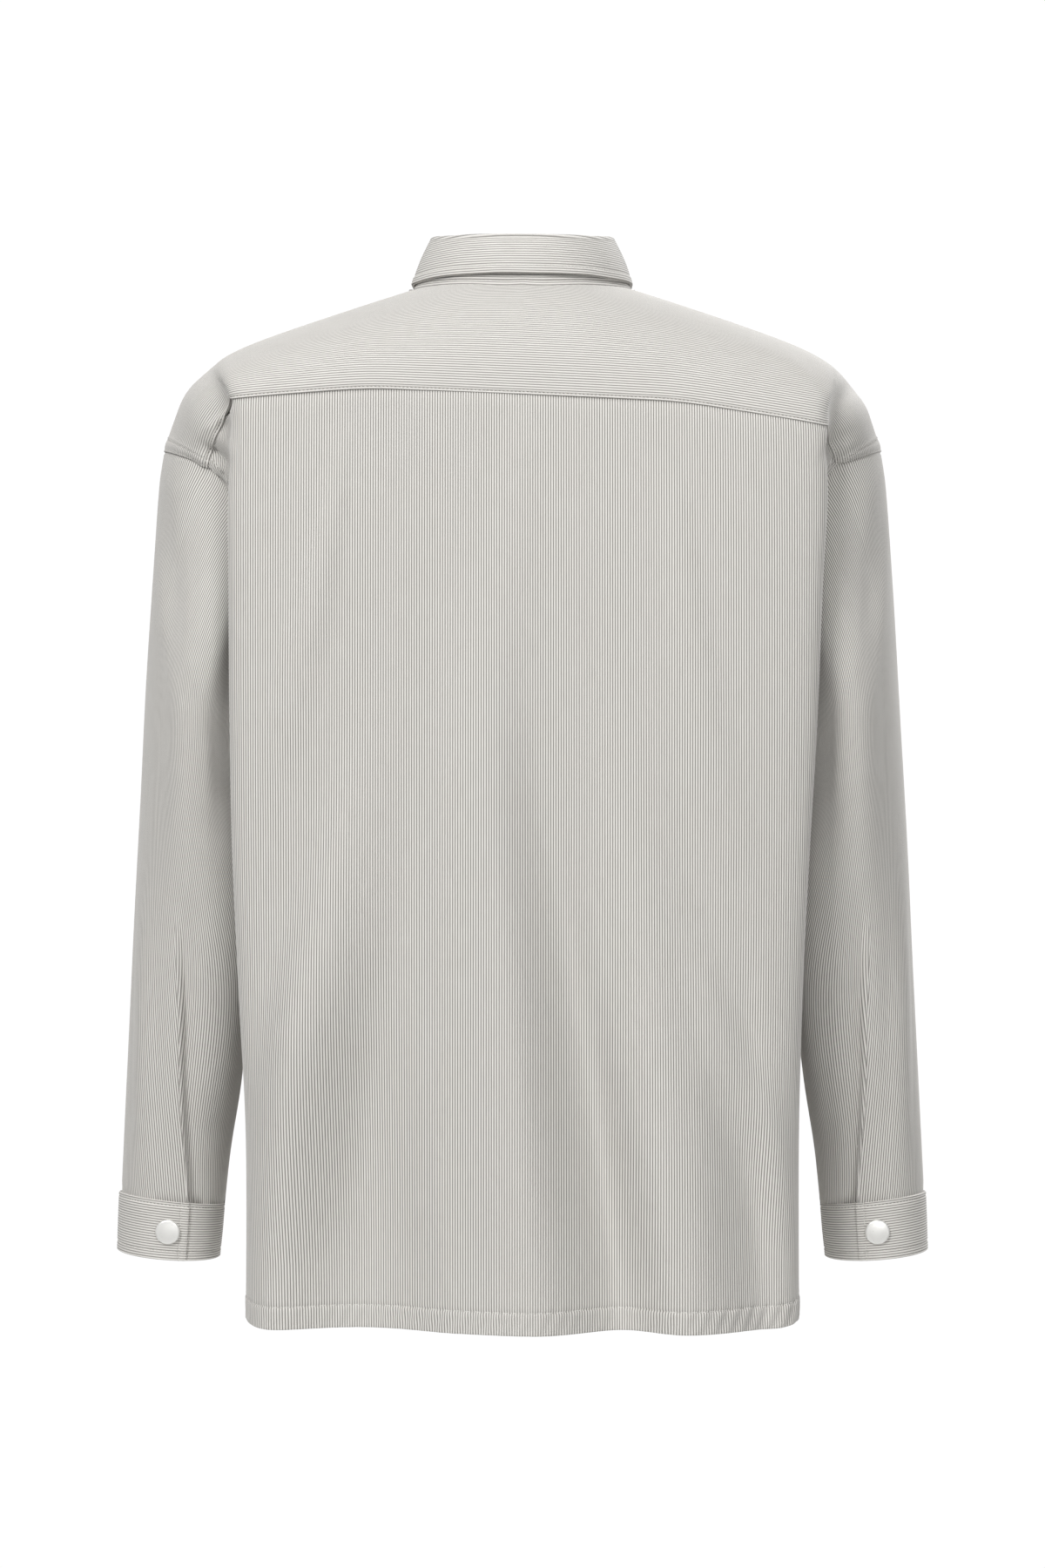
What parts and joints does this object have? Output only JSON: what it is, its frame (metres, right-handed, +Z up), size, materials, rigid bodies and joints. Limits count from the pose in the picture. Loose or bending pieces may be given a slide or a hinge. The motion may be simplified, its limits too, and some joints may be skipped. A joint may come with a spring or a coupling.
{
  "type": "shacket",
  "caption": "Long-sleeved shirt jacket in ribbed cloth with a back yoke, fold-down collar, snapped front band and snapped cuffs, open and hollow as worn.",
  "frame": {"origin": "middle of the neck opening, level with the collar seam at the centre of the back, where the wearer's neck and shoulders hold it", "axes": "+X towards the wearer's left, +Y towards the back, +Z up"},
  "size_m": [0.5936, 0.2653, 0.7785],
  "materials": {
    "cloth": "matt, finely ribbed",
    "snap": "satin off-white"
  },
  "bodies": {
    "root": {"back": "cloth", "yoke": "cloth", "front_left": "cloth", "front_right": "cloth", "front_band": "cloth", "sleeve_left": "cloth", "sleeve_right": "cloth", "cuff_left": "cloth", "cuff_right": "cloth", "collar_stand": "cloth", "collar_leaf": "cloth", "snap_front_1": "snap", "snap_front_2": "snap", "snap_front_3": "snap", "snap_front_4": "snap", "snap_front_5": "snap", "snap_front_6": "snap", "snap_collar": "snap", "snap_cuff_left": "snap", "snap_cuff_right": "snap"}
  },
  "joints": []
}
